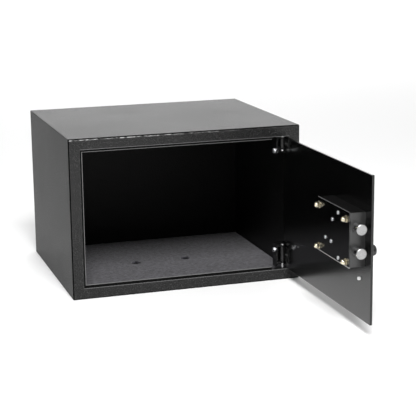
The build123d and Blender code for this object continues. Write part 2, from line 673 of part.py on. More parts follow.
def make_override_cover():
    """Drop cover that hangs over the key slot."""
    outline = make_hull(
        (Pos(OVERRIDE_X, OVERRIDE_Z) * Circle(9.0)).edges() + (Pos(OVERRIDE_X, COVER_PIVOT_Z) * Circle(5.0)).edges())
    back = -PANEL_PROUD - 1.3
    cover = Pos(0, back, 0) * extrude(Plane.XZ * outline, 1.5)
    return cover - rod_y(1.6, OVERRIDE_X, back - 3, back + 1, COVER_PIVOT_Z)


# ---- Reset button ----
def make_reset_button():
    """Button on the inside of the door, below the lock case."""
    cap = rod_y(RESET_RADIUS, RESET_X, -0.5, DOOR_PLATE + 4.0, RESET_Z)
    cap = fillet(cap.faces().sort_by(Axis.Y)[-1].edges(), 1.2)
    return cap + rod_y(RESET_RADIUS + 1.0, RESET_X, -1.4, -0.5, RESET_Z)


def make_reset_switch():
    """Switch behind the reset button, inside the housing."""
    return block(RESET_X - 6, RESET_X + 6, -PANEL_PROUD + PANEL_WALL, -3.4, RESET_Z - 6, RESET_Z + 6)


# ---- Write every node ----
save_body("body_shell", make_body_shell())
save_body("front_frame", make_front_frame())
save_body("back_panel", block(SHEET, WIDTH - SHEET, DEPTH - SHEET, DEPTH, SHEET, HEIGHT - SHEET))
save_body("door_stop_frame", make_stop_frame())
save_body("floor_mat", make_floor_mat())
for place, hinge in HINGES.items():
    save_body(f"{place}_frame_bracket", make_frame_bracket(hinge))
save_body("hinge_pins", group([make_hinge_pin(hinge) for hinge in HINGES.values()]))
save_body("bracket_bolts", group([make_bracket_bolt(hinge) for hinge in HINGES.values()]))

save_door("door_panel", make_door_panel())
for place, hinge in HINGES.items():
    save_door(f"{place}_door_hinge", make_door_hinge(hinge))
save_door("hinge_leaf_screws", make_leaf_screws())
save_door("lock_case", make_lock_case())
save_door("lock_cover", make_lock_cover())
save_door("door_studs", make_door_studs())
save_door("cover_nuts", make_cover_nuts())
save_door("cover_screws", make_cover_screws())
save_door("bolt_guides", make_bolt_guides())
for place, height in BOLT_HEIGHTS.items():
    save_door(f"locking_bolt_{place}", make_locking_bolt(height))
save_door("bolt_screws", make_bolt_screws())
save_door("bolt_carriage", make_bolt_carriage())

save_door("knob", make_knob())
save_door("knob_spindle", make_spindle())
save_door("spindle_bush", make_spindle_bush())
save_door("crank_arm", make_crank_arm())
save_door("crank_clip", make_crank_clip())

save_door("solenoid_frame", make_solenoid_frame())
save_door("solenoid_coil", make_solenoid_coil())
save_door("solenoid_plunger", make_plunger())
save_door("plunger_spring", make_plunger_spring())
save_door("bolt_switch", make_bolt_switch())
save_door("lock_board", make_lock_board())
save_door("battery_holder", make_battery_holder())
save_door("battery_cells", make_battery_cells())

save_door("panel_housing", make_panel_housing())
save_door("display_window", make_display_window())
save_door("keypad_board", make_keypad_board())
save_door("ribbon_cable", make_ribbon_cable())
save_door("status_lights", make_status_lights())
save_door("panel_screws", make_panel_screws())
save_door("override_barrel", make_override_barrel())
save_door("override_plug", make_override_plug())
save_door("override_cover", make_override_cover())
save_door("reset_switch", make_reset_switch())
save_door("reset_button", make_reset_button())
for key_name, (key_x, key_z) in key_places():
    save_door(f"key_{key_name}", make_key(key_x, key_z))
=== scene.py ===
# %% [markdown]
# # Finishing an in room safe
# This lesson takes a steel hotel safe that is already modelled to size, and gives it its looks:
# powder coat, felt, chrome, brass and moulded plastic, and the small pieces that the frame leaves
# out. Every measure is in metres. The safe stands at the origin on a floor at height zero, with
# its door open towards the reader's side, which is minus Y, and hinged on the right, plus X.

# %% Load the frame
import json
import math

import bmesh
import bpy
from mathutils import Matrix, Vector, noise


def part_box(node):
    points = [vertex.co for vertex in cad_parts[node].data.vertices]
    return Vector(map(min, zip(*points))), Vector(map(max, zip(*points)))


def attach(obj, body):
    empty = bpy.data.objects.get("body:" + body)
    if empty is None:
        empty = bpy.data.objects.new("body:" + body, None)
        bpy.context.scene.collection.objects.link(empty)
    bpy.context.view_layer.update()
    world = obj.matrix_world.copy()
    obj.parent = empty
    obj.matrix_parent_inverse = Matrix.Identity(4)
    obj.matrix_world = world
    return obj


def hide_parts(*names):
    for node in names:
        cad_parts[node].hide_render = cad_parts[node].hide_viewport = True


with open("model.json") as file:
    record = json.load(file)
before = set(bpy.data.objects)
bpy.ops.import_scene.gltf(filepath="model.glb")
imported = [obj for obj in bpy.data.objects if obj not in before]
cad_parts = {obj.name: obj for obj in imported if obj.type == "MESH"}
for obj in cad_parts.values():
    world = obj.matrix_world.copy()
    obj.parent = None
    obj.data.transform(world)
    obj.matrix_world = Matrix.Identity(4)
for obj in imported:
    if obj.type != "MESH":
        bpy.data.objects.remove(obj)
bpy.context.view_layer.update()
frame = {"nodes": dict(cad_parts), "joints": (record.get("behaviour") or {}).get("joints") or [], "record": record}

nodes = frame["nodes"]
joints = {joint["name"]: joint for joint in frame["joints"]}
MM = 0.001

# %% A helper for every section
def add_object(name, data):
    """Puts a new object with this data in the scene."""
    made = bpy.data.objects.new(name, data)
    bpy.context.scene.collection.objects.link(made)
    return made


# %% [markdown]
# ## Stage, camera and light
# A safe like this is shown on a white sweep. The floor is one wide sheet that fills the view, so
# it is also the backdrop. Black paint shows little of its own colour: it shows what it mirrors at
# a low angle. So the room is bright behind the safe and dim elsewhere, one soft box in front gives
# the shadows their shape, and the floor itself does most of the work.

# %% The floor
FLOOR_SIZE = 60.0
FLOOR_WHITE = (0.93, 0.93, 0.93, 1)


def stage_floor():
    """A wide white floor just under the safe."""
    half = FLOOR_SIZE / 2
    mesh = bpy.data.meshes.new("studio_floor")
    corners = [(-half, -half, 0), (half, -half, 0), (half, half, 0), (-half, half, 0)]
    mesh.from_pydata(corners, [], [(0, 1, 2, 3)])
    floor = add_object("studio_floor", mesh)
    material = bpy.data.materials.new("studio_white")
    material.use_nodes = True
    shader = material.node_tree.nodes["Principled BSDF"]
    shader.inputs["Base Color"].default_value = FLOOR_WHITE
    shader.inputs["Roughness"].default_value = 0.9
    shader.inputs["Specular IOR Level"].default_value = 0.1
    mesh.materials.append(material)


stage_floor()
print("floor:", FLOOR_SIZE, "m square")

# %% The camera
CAMERA_PLACE = Vector((-0.660, -2.369, 0.677))
CAMERA_YAW = math.radians(17.68)
CAMERA_PITCH = math.radians(12.96)
CAMERA_ROLL = math.radians(-0.69)
CAMERA_LENS = 112.8
CAMERA_REACH = 100.0


def aim(yaw, pitch, roll):
    """The turn of a camera that looks along +Y, swung right by yaw, down by pitch, then rolled."""
    level = math.cos(pitch)
    ahead = Vector((math.sin(yaw) * level, math.cos(yaw) * level, -math.sin(pitch)))
    right = Vector((math.cos(yaw), -math.sin(yaw), 0))
    up = right.cross(ahead)
    side = math.cos(roll) * right + math.sin(roll) * up
    top = -math.sin(roll) * right + math.cos(roll) * up
    return Matrix((side, top, -ahead)).transposed()


camera_data = bpy.data.cameras.new("camera")
camera_data.lens = CAMERA_LENS
camera_data.sensor_width = 36.0
camera_data.clip_end = CAMERA_REACH
camera = add_object("camera", camera_data)
camera_turn = aim(CAMERA_YAW, CAMERA_PITCH, CAMERA_ROLL)
camera.matrix_world = Matrix.Translation(CAMERA_PLACE) @ camera_turn.to_4x4()
bpy.context.scene.camera = camera
bpy.context.scene.view_settings.view_transform = "Standard"
print("camera at", tuple(CAMERA_PLACE), "lens", CAMERA_LENS)

# %% The lights
SKY_FRONT = 0.35
SKY_FADES = (("Y", -0.3, 0.4, 2.0), ("X", 0.05, -0.3, 0.25), ("Z", 0.35, 0.7, 0.2))


def soft_light(name, place, target, size, power):
    """A square softbox at place, turned to face target."""
    data = bpy.data.lights.new(name, "AREA")
    data.shape = "SQUARE"
    data.size = size
    data.energy = power
    light = add_object(name, data)
    light.location = place
    light.rotation_euler = (Vector(target) - Vector(place)).to_track_quat("-Z", "Y").to_euler()


def sky(front, fades):
    """A soft room light: bright behind the safe, dim in front of it, on the left and overhead.

    Each fade is an axis, where along it the fade starts and ends, and the level it ends on.
    """
    world = bpy.data.worlds.new("studio_room")
    world.use_nodes = True
    tree = world.node_tree
    background = tree.nodes["Background"]
    place = tree.nodes.new("ShaderNodeTexCoord")
    split = tree.nodes.new("ShaderNodeSeparateXYZ")
    tree.links.new(place.outputs["Generated"], split.inputs["Vector"])
    level = None
    for axis, start, end, value in fades:
        share = tree.nodes.new("ShaderNodeMapRange")
        share.inputs["From Min"].default_value = start
        share.inputs["From Max"].default_value = end
        tree.links.new(split.outputs[axis], share.inputs["Value"])
        blend = tree.nodes.new("ShaderNodeMix")
        tree.links.new(share.outputs["Result"], blend.inputs[0])
        if level is None:
            blend.inputs[2].default_value = front
        else:
            tree.links.new(level, blend.inputs[2])
        blend.inputs[3].default_value = value
        level = blend.outputs[0]
    tree.links.new(level, background.inputs["Color"])
    bpy.context.scene.world = world


sky(SKY_FRONT, SKY_FADES)
soft_light("key_box", (-0.4, -2.0, 2.2), (0.0, -0.15, 0.1), 1.0, 105.0)
soft_light("backdrop_box", (1.0, 6.8, 3.0), (1.0, 6.8, 0.0), 9.0, 350.0)
print("lights: a room that is bright behind, one softbox in front and one over the backdrop")

# %% [markdown]
# ## Shader groups
# Several finishes share the same effects, so each effect is made once as a node group: a fine
# powder texture, wear along edges, drawn metal, and handling smudges. A group only puts out
# colours, masks and heights. The shader itself stays in each material.


# %% Small helpers for node trees
def place_node(tree, kind, settings=None, values=None):
    """Adds a node, sets its options, then its input values."""
    made = tree.nodes.new(kind)
    for key, value in (settings or {}).items():
        setattr(made, key, value)
    for key, value in (values or {}).items():
        made.inputs[key].default_value = value
    return made


def start_group(name, inputs, outputs):
    """A node group with named inputs and outputs. Each input is (name, socket type, default)."""
    group = bpy.data.node_groups.new(name, "ShaderNodeTree")
    for label, kind, default in inputs:
        socket = group.interface.new_socket(label, in_out="INPUT", socket_type=kind)
        socket.default_value = default
    for label, kind in outputs:
        group.interface.new_socket(label, in_out="OUTPUT", socket_type=kind)
    return group, group.nodes.new("NodeGroupInput"), group.nodes.new("NodeGroupOutput")


FLOAT = "NodeSocketFloat"
COLOR = "NodeSocketColor"


def math_node(tree, operation, a, b, clamp=False):
    """A Math node whose two sides are sockets or plain numbers."""
    made = place_node(tree, "ShaderNodeMath", {"operation": operation, "use_clamp": clamp})
    for index, side in enumerate((a, b)):
        if isinstance(side, (int, float)):
            made.inputs[index].default_value = side
        else:
            tree.links.new(side, made.inputs[index])
    return made.outputs[0]


def times(tree, a, b, clamp=False):
    """The product of two sides."""
    return math_node(tree, "MULTIPLY", a, b, clamp)


def plus(tree, a, b, clamp=False):
    """The sum of two sides."""
    return math_node(tree, "ADD", a, b, clamp)


def mix_color(tree, factor, a, b):
    """Blends two colours, each a socket or a colour value."""
    made = place_node(tree, "ShaderNodeMix", {"data_type": "RGBA"})
    for index, side in ((0, factor), (6, a), (7, b)):
        if isinstance(side, bpy.types.NodeSocket):
            tree.links.new(side, made.inputs[index])
        else:
            made.inputs[index].default_value = side
    return made.outputs[2]


def noise_at(tree, vector, scale, detail=2.0, roughness=0.5):
    """A Noise texture's value; scale is a number or a socket."""
    made = place_node(tree, "ShaderNodeTexNoise", None, {"Detail": detail, "Roughness": roughness})
    tree.links.new(vector, made.inputs["Vector"])
    if isinstance(scale, (int, float)):
        made.inputs["Scale"].default_value = scale
    else:
        tree.links.new(scale, made.inputs["Scale"])
    return made.outputs["Fac"]


def spread(tree, value, low, high, to_low=0.0, to_high=1.0):
    """Maps a range onto another, and clamps it."""
    made = place_node(tree, "ShaderNodeMapRange", None,
                      {"From Min": low, "From Max": high, "To Min": to_low, "To Max": to_high})
    tree.links.new(value, made.inputs["Value"])
    return made.outputs["Result"]


def object_place(tree):
    """Object coordinates, which hold still on a piece that stands at the origin."""
    return place_node(tree, "ShaderNodeTexCoord").outputs["Object"]


# %% Powder coat group
HOLLOW_SHARE = 0.6
FINE_SHARE = 0.4
FLECK_LIMIT = 0.78
FLECK_BLEND = 0.12


def powder_group():
    """Baked powder: a leathery orange peel, with fine bright flecks where grains stand proud."""
    group, given, result = start_group(
        "Powder coat",
        [("Color", COLOR, (0.02, 0.02, 0.02, 1)), ("Fleck Color", COLOR, (0.1, 0.1, 0.1, 1)),
         ("Grain Size", FLOAT, 0.0016), ("Fleck Share", FLOAT, 0.3), ("Roughness", FLOAT, 0.4)],
        [("Color", COLOR), ("Roughness", FLOAT), ("Height", FLOAT)])
    place = object_place(group)
    grains = math_node(group, "DIVIDE", 1.0, given.outputs["Grain Size"])
    cells = place_node(group, "ShaderNodeTexVoronoi", {"feature": "SMOOTH_F1"}, {"Smoothness": 0.6})
    group.links.new(place, cells.inputs["Vector"])
    group.links.new(grains, cells.inputs["Scale"])
    hollows = spread(group, cells.outputs["Distance"], 0.1, 0.75, 1.0, 0.0)
    fine = noise_at(group, place, times(group, grains, 1.9), 3.0, 0.6)
    height = plus(group, times(group, hollows, HOLLOW_SHARE), times(group, fine, FINE_SHARE))
    lowered = times(group, given.outputs["Fleck Share"], 0.3)
    limit = math_node(group, "SUBTRACT", FLECK_LIMIT, lowered)
    fleck = place_node(group, "ShaderNodeMapRange", {"interpolation_type": "SMOOTHSTEP"})
    group.links.new(height, fleck.inputs["Value"])
    group.links.new(limit, fleck.inputs["From Min"])
    group.links.new(plus(group, limit, FLECK_BLEND), fleck.inputs["From Max"])
    flecked = mix_color(group, fleck.outputs["Result"], given.outputs["Color"],
                        given.outputs["Fleck Color"])
    group.links.new(flecked, result.inputs["Color"])
    cloudy = spread(group, noise_at(group, place, 9.0, 3.0), 0.3, 0.7, -0.015, 0.02)
    rough = plus(group, given.outputs["Roughness"], cloudy)
    polished = plus(group, rough, times(group, hollows, -0.06), clamp=True)
    group.links.new(polished, result.inputs["Roughness"])
    group.links.new(height, result.inputs["Height"])
    return group


POWDER = powder_group()


# %% Edge wear group
def edge_group():
    """A mask along outside edges, where hands and boxes rub the finish thin."""
    group, given, result = start_group(
        "Edge wear", [("Width", FLOAT, 0.0008), ("Amount", FLOAT, 0.5), ("Patch Size", FLOAT, 0.02)],
        [("Mask", FLOAT)])
    rounded = place_node(group, "ShaderNodeBevel", {"samples": 4})
    group.links.new(given.outputs["Width"], rounded.inputs["Radius"])
    flat = place_node(group, "ShaderNodeNewGeometry")
    turn = place_node(group, "ShaderNodeVectorMath", {"operation": "DOT_PRODUCT"})
    group.links.new(rounded.outputs["Normal"], turn.inputs[0])
    group.links.new(flat.outputs["Normal"], turn.inputs[1])
    edge = spread(group, turn.outputs["Value"], 0.99, 0.86)
    patch_scale = math_node(group, "DIVIDE", 1.0, given.outputs["Patch Size"])
    patches = noise_at(group, object_place(group), patch_scale, 4.0, 0.65)
    broken = spread(group, patches, 0.42, 0.62)
    worn = times(group, edge, broken)
    mask = times(group, worn, given.outputs["Amount"], clamp=True)
    group.links.new(mask, result.inputs["Mask"])
    return group


EDGES = edge_group()


# %% Drawn metal group
def drawn_group():
    """Fine lines along one direction, as rolling, drawing or turning leave them."""
    group, given, result = start_group(
        "Drawn metal",
        [("Color", COLOR, (0.6, 0.6, 0.6, 1)), ("Dull Color", COLOR, (0.3, 0.3, 0.3, 1)),
         ("Along", "NodeSocketVector", (1, 1, 1)), ("Line Size", FLOAT, 0.0006), ("Roughness", FLOAT, 0.3)],
        [("Color", COLOR), ("Roughness", FLOAT), ("Height", FLOAT)])
    place = object_place(group)
    stretch = place_node(group, "ShaderNodeVectorMath", {"operation": "MULTIPLY"})
    group.links.new(place, stretch.inputs[0])
    group.links.new(given.outputs["Along"], stretch.inputs[1])
    line_scale = math_node(group, "DIVIDE", 1.0, given.outputs["Line Size"])
    lines = noise_at(group, stretch.outputs[0], line_scale, 3.0, 0.6)
    stain = spread(group, noise_at(group, place, 160.0, 4.0, 0.6), 0.35, 0.7)
    stained = mix_color(group, stain, given.outputs["Color"], given.outputs["Dull Color"])
    group.links.new(stained, result.inputs["Color"])
    rough = plus(group, given.outputs["Roughness"], spread(group, lines, 0.3, 0.7, -0.06, 0.08))
    dulled = plus(group, rough, times(group, stain, 0.12), clamp=True)
    group.links.new(dulled, result.inputs["Roughness"])
    group.links.new(lines, result.inputs["Height"])
    return group


DRAWN = drawn_group()


# %% Handling group
def handling_group():
    """Broad smudges and thin streaks, which change only how rough a smooth surface looks."""
    group, given, result = start_group(
        "Handling", [("Roughness", FLOAT, 0.3), ("Amount", FLOAT, 0.1), ("Smudge Size", FLOAT, 0.08)],
        [("Roughness", FLOAT), ("Mask", FLOAT)])
    place = object_place(group)
    smudge_scale = math_node(group, "DIVIDE", 1.0, given.outputs["Smudge Size"])
    wide = noise_at(group, place, smudge_scale, 5.0, 0.62)
    mask = spread(group, wide, 0.4, 0.68)
    added = times(group, mask, given.outputs["Amount"])
    rough = plus(group, given.outputs["Roughness"], added, clamp=True)
    group.links.new(rough, result.inputs["Roughness"])
    group.links.new(mask, result.inputs["Mask"])
    return group


HANDLING = handling_group()
print("groups:", [g.name for g in (POWDER, EDGES, DRAWN, HANDLING)])

# %% [markdown]
# ## Finishes
# Each finish is a material with one Principled shader. The shared groups feed its colour,
# roughness and bump, and every finish gives them its own sizes.


# %% Starting a material
def start_material(name, **sockets):
    """A material, its tree and its shader, with plain socket values set."""
    material = bpy.data.materials.new(name)
    material.use_nodes = True
    shader = material.node_tree.nodes["Principled BSDF"]
    for label, value in sockets.items():
        shader.inputs[label.replace("_", " ")].default_value = value
    return material, material.node_tree, shader


def use_group(tree, group, **values):
    """Places a shared group with this material's own values."""
    made = tree.nodes.new("ShaderNodeGroup")
    made.node_tree = group
    for label, value in values.items():
        made.inputs[label.replace("_", " ")].default_value = value
    return made


def add_bump(tree, shader, height, depth):
    """Turns a height into a bump of the given depth in metres."""
    bump = place_node(tree, "ShaderNodeBump", None, {"Strength": 1.0, "Distance": depth})
    tree.links.new(height, bump.inputs["Height"])
    tree.links.new(bump.outputs["Normal"], shader.inputs["Normal"])


def gray(value):
    """A neutral colour."""
    return (value, value, value, 1.0)


# %% [markdown]
# ### Colours that keep to one place
# Some marks belong to one spot on a piece: painted shade in the seam behind the front frame, a painted highlight
# along its top bend, the sawn end of a bolt. A mask that is one inside a box, and nought elsewhere, lays another
# colour over the coat there.


# %% Masks and tints
def axes_of(tree):
    """Object coordinates, split into X, Y and Z."""
    axes = place_node(tree, "ShaderNodeSeparateXYZ")
    tree.links.new(object_place(tree), axes.inputs["Vector"])
    return axes.outputs


def inside_mask(tree, low, high):
    """One inside a box given by two corners, and nought outside it."""
    axes = axes_of(tree)
    mask = None
    for axis, least, most in zip("XYZ", low, high):
        for operation, limit in (("GREATER_THAN", least), ("LESS_THAN", most)):
            part = math_node(tree, operation, axes[axis], limit)
            mask = part if mask is None else times(tree, mask, part)
    return mask


def paint_over(material, share, color):
    """Lays another colour over what a material already shows, by the given share."""
    tree = material.node_tree
    base = tree.nodes["Principled BSDF"].inputs["Base Color"]
    tree.links.new(mix_color(tree, share, base.links[0].from_socket, color), base)


def tint_box(material, low, high, color, shine, outside=False):
    """Gives a coat another colour and shine inside a box, or everywhere outside it."""
    tree = material.node_tree
    share = inside_mask(tree, low, high)
    if outside:
        share = math_node(tree, "SUBTRACT", 1.0, share)
    paint_over(material, share, color)
    level = tree.nodes["Principled BSDF"].inputs["Specular IOR Level"]
    if level.links:
        rest = math_node(tree, "SUBTRACT", 1.0, share)
        kept = times(tree, level.links[0].from_socket, rest)
        added = times(tree, share, shine)
        tree.links.new(plus(tree, kept, added), level)
    else:
        tree.links.new(spread(tree, share, 0.0, 1.0, level.default_value, shine), level)


print("masks and tints ready")

# %% Powder-coated sheet
WEAR_WIDTH = 0.0009
WEAR_PATCH = 0.015
WORN_GRAY = gray(0.16)
# The painted highlight on the front frame's top bend: its band height, grain, stretch and grey.
BEND_HIGHLIGHT_HEIGHT = 0.0034
BEND_HIGHLIGHT_GRAIN = 420.0
BEND_HIGHLIGHT_STRETCH = (0.3, 1.0, 1.0)
BEND_HIGHLIGHT_GRAY = gray(0.35)
# A face that lies just on a box's side counts as outside it, so boxes end half a sheet off it.
SKIN = 0.001


def coated(name, color, fleck, grain, fleck_share, rough, depth, wear=0.35, shine=0.5):
    """A powder-coated sheet with a little shine on its worn edges."""
    material, tree, shader = start_material(name, Specular_IOR_Level=shine)
    coat = use_group(tree, POWDER, Color=color, Fleck_Color=fleck, Grain_Size=grain,
                     Fleck_Share=fleck_share, Roughness=rough)
    edge = use_group(tree, EDGES, Width=WEAR_WIDTH, Amount=wear, Patch_Size=WEAR_PATCH)
    worn = mix_color(tree, edge.outputs["Mask"], coat.outputs["Color"], WORN_GRAY)
    tree.links.new(worn, shader.inputs["Base Color"])
    tree.links.new(coat.outputs["Roughness"], shader.inputs["Roughness"])
    add_bump(tree, shader, coat.outputs["Height"], depth)
    return material


def paint_bend_highlight(material, low, high):
    """A painted highlight: pale grains in a broken line along the top bend, strongest at the left."""
    tree = material.node_tree
    along = place_node(tree, "ShaderNodeVectorMath", {"operation": "MULTIPLY"})
    tree.links.new(object_place(tree), along.inputs[0])
    along.inputs[1].default_value = BEND_HIGHLIGHT_STRETCH
    grains = noise_at(tree, along.outputs[0], BEND_HIGHLIGHT_GRAIN, 4.0, 0.65)
    broken = spread(tree, grains, 0.42, 0.6)
    fading = spread(tree, axes_of(tree)["X"], low.x * 0.2, high.x * 0.5, 1.0, 0.1)
    band = inside_mask(tree, Vector((low.x, low.y - SKIN, high.z - BEND_HIGHLIGHT_HEIGHT)), high)
    share = times(tree, times(tree, broken, band), fading)
    paint_over(material, share, BEND_HIGHLIGHT_GRAY)


# %% The painted finishes
HALF_SHEET = Vector((SKIN, SKIN, SKIN))
# Sizes of the painted light: shade in the seam and round the frame's rim, pale edge bands as highlights, shade on
# the case's top, and a reflection on the cover's lower edge.
SEAM_SHADE_DEPTH = 0.0012
RIM_SHADE_INSET = Vector((0.0018, -0.01, 0.0018))
FLANGE = 0.020
LIP = 0.025
EDGE_HIGHLIGHT = 0.0009
ROOF_SHADE_DEPTH = 0.0005
COVER_REFLECTION_RIM = 0.0014

shell_low, shell_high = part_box("body_shell")
front_low, front_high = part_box("front_frame")
case_low, case_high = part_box("lock_case")
cover_low, cover_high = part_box("lock_cover")


def opening_box(inset_x, inset_z):
    """A deep box as wide and high as an opening, measured in from the front frame's outside."""
    inset = Vector((inset_x, -FLANGE, inset_z))
    return front_low + inset, front_high - inset


BODY_PAINT = coated("body_powder", gray(0.008), gray(0.09), 0.0022, 0.35, rough=0.33, depth=0.0005,
                    wear=0.4, shine=0.03)
# Inside the shell the coat is plain and has no flecks, so it is darker: painted shade on the inner walls.
tint_box(BODY_PAINT, shell_low + HALF_SHEET, shell_high - HALF_SHEET, gray(0.008), 0.1)
# A black band along the shell's front edge: painted shade in the seam behind the front frame.
seam_shade_high = Vector((shell_high.x, shell_low.y + SEAM_SHADE_DEPTH, shell_high.z))
tint_box(BODY_PAINT, shell_low, seam_shade_high, gray(0.001), 0.0)

FRONT_PAINT = coated("front_powder", gray(0.004), gray(0.1), 0.0018, 0.4, rough=0.3, depth=0.0004,
                     wear=1.0, shine=0.4)
# A broken pale line along the top bend, fading to the right: a painted highlight.
paint_bend_highlight(FRONT_PAINT, front_low, front_high)
# Black all round the frame's outer border: painted shade of the seam and a painted dark reflection on the bend.
tint_box(FRONT_PAINT, front_low + RIM_SHADE_INSET, front_high - RIM_SHADE_INSET, gray(0.001), 0.02, outside=True)
# A paler band along the opening's top and bottom edges: a painted highlight.
tint_box(FRONT_PAINT, *opening_box(FLANGE, FLANGE - EDGE_HIGHLIGHT), gray(0.1), 0.4)

# The stop frame wears the same coat made darker: painted shade inside the opening.
SHADED_INNER_PAINT = coated("inner_powder_shaded", gray(0.003), gray(0.01), 0.0019, 0.2, rough=0.5, depth=0.00016,
                     wear=0.8, shine=0.1)
# A paler band along the stop lip's edges: a painted highlight.
tint_box(SHADED_INNER_PAINT, *opening_box(LIP - EDGE_HIGHLIGHT, LIP - EDGE_HIGHLIGHT), gray(0.16), 0.4)

CASE_PAINT = coated("case_powder", gray(0.006), gray(0.02), 0.0012, 0.2, rough=0.36, depth=0.00005,
                    shine=0.9)
# The top of the lock case is darker: painted shade.
roof_shade_low = Vector((case_low.x, case_low.y, case_high.z - ROOF_SHADE_DEPTH))
tint_box(CASE_PAINT, roof_shade_low, case_high + HALF_SHEET, gray(0.002), 0.02)

DOOR_PAINT = coated("door_satin", gray(0.0015), gray(0.003), 0.0022, 0.15, rough=0.22, depth=0.00002,
                    wear=0.3)
COVER_PAINT = coated("cover_satin", gray(0.002), gray(0.004), 0.0014, 0.15, rough=0.14, depth=0.00002,
                     wear=0.4)
# A pale line along the cover's lower edge: a painted reflection of the floor.
cover_reflection_high = Vector((cover_high.x, cover_high.y, cover_low.z + COVER_REFLECTION_RIM))
tint_box(COVER_PAINT, cover_low - HALF_SHEET, cover_reflection_high, gray(0.45), 0.5)
print("painted finishes ready")

# %% Metals
SAWN_LENGTH = 0.0012
SAW_GRIT = 1500.0
SAWN_ROUGH = 0.25


def metal(name, color, dull, along, line, rough, depth):
    """A bare or plated metal with drawn or turned lines."""
    material, tree, shader = start_material(name, Metallic=1.0)
    drawn = use_group(tree, DRAWN, Color=color, Dull_Color=dull, Along=along, Line_Size=line,
                      Roughness=rough)
    tree.links.new(drawn.outputs["Color"], shader.inputs["Base Color"])
    tree.links.new(drawn.outputs["Roughness"], shader.inputs["Roughness"])
    add_bump(tree, shader, drawn.outputs["Height"], depth)
    return material


def saw_cut(material, end_y):
    """Makes the end of a plated bolt, up to end_y, the dull grey of a sawn face."""
    tree = material.node_tree
    cut = math_node(tree, "LESS_THAN", axes_of(tree)["Y"], end_y)
    grit = spread(tree, noise_at(tree, object_place(tree), SAW_GRIT, 2.0, 0.6), 0.35, 0.65)
    paint_over(material, cut, mix_color(tree, grit, gray(0.3), gray(0.5)))
    roughness = tree.nodes["Principled BSDF"].inputs["Roughness"]
    added = times(tree, cut, SAWN_ROUGH)
    rough = plus(tree, roughness.links[0].from_socket, added, clamp=True)
    tree.links.new(rough, roughness)


CHROME = metal("bolt_chrome", gray(0.8), gray(0.62), (1, 0.15, 1), 0.0009, 0.1, 0.000004)
saw_cut(CHROME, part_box("locking_bolt_lower")[0].y + SAWN_LENGTH)
BRASS = metal("cap_nut_brass", (0.86, 0.8, 0.64, 1), (0.42, 0.36, 0.23, 1), (1, 1, 1), 0.0007, 0.12,
              0.000008)
ZINC = metal("zinc_plate", (0.74, 0.75, 0.76, 1), (0.42, 0.43, 0.46, 1), (1, 1, 1), 0.0008, 0.28,
             0.000006)
BRIGHT = metal("bright_steel", gray(0.72), gray(0.45), (1, 1, 0.1), 0.0006, 0.22, 0.000005)
BRACKET = metal("bracket_steel", gray(0.06), gray(0.03), (1, 1, 0.12), 0.0009, 0.34, 0.00001)
NICKEL = metal("lock_nickel", (0.74, 0.72, 0.68, 1), (0.5, 0.48, 0.44, 1), (0.2, 1, 1), 0.0006, 0.2,
               0.000005)
print("metals ready")


# %% Moulded plastics
SMUDGE_SIZE = 0.03


def plastic(name, color, rough, grain, depth, smudge=0.08, **sockets):
    """A moulded plastic: a spark-eroded grain, and smudges where it is touched."""
    material, tree, shader = start_material(name, Base_Color=color, **sockets)
    touched = use_group(tree, HANDLING, Roughness=rough, Amount=smudge, Smudge_Size=SMUDGE_SIZE)
    tree.links.new(touched.outputs["Roughness"], shader.inputs["Roughness"])
    lighter = tuple(min(1.0, c * 1.18 + 0.004) for c in color[:3]) + (1.0,)
    tree.links.new(mix_color(tree, touched.outputs["Mask"], color, lighter), shader.inputs["Base Color"])
    add_bump(tree, shader, noise_at(tree, object_place(tree), 1.0 / grain, 2.0, 0.5), depth)
    return material


PANEL_PLASTIC = plastic("panel_plastic", gray(0.02), 0.42, 0.0006, 0.00003)
KEY_PLASTIC = plastic("key_plastic", gray(0.055), 0.5, 0.0005, 0.00002)
KNOB_PLASTIC = plastic("knob_plastic", gray(0.012), 0.2, 0.0009, 0.000008)
BLACK_PLASTIC = plastic("black_plastic", gray(0.02), 0.5, 0.0008, 0.00002)
WHITE_PLASTIC = plastic("white_plastic", gray(0.72), 0.35, 0.0008, 0.00001)
WINDOW = plastic("display_smoke", (0.012, 0.003, 0.004, 1), 0.08, 0.004, 0.000004, smudge=0.05,
                 Coat_Weight=0.6, Coat_Roughness=0.04)
LENS = plastic("lens_tint", (0.12, 0.2, 0.05, 1), 0.15, 0.001, 0.000004)
BOARD = plastic("board_green", (0.012, 0.09, 0.035, 1), 0.35, 0.001, 0.00001)
COIL = plastic("coil_tape", (0.4, 0.2, 0.03, 1), 0.35, 0.0006, 0.00003)
CELL = plastic("cell_jacket", (0.05, 0.07, 0.1, 1), 0.25, 0.002, 0.000005)
RIBBON = plastic("ribbon_grey", gray(0.32), 0.45, 0.0006, 0.00003)
FIGURES = plastic("figure_white", gray(0.75), 0.45, 0.0006, 0.000005)
print("plastics ready")

# %% Needle felt
FELT_DARK = (0.005, 0.0045, 0.0065, 1)
FELT_LIGHT = (0.09, 0.086, 0.102, 1)
FELT_CLOUD = (0.03, 0.0285, 0.035, 1)
FIBRE_BEND = 0.006
FIBRE_SHARE = 0.35
TUFT_SHARE = 0.65
FELT_DEPTH = 0.0009


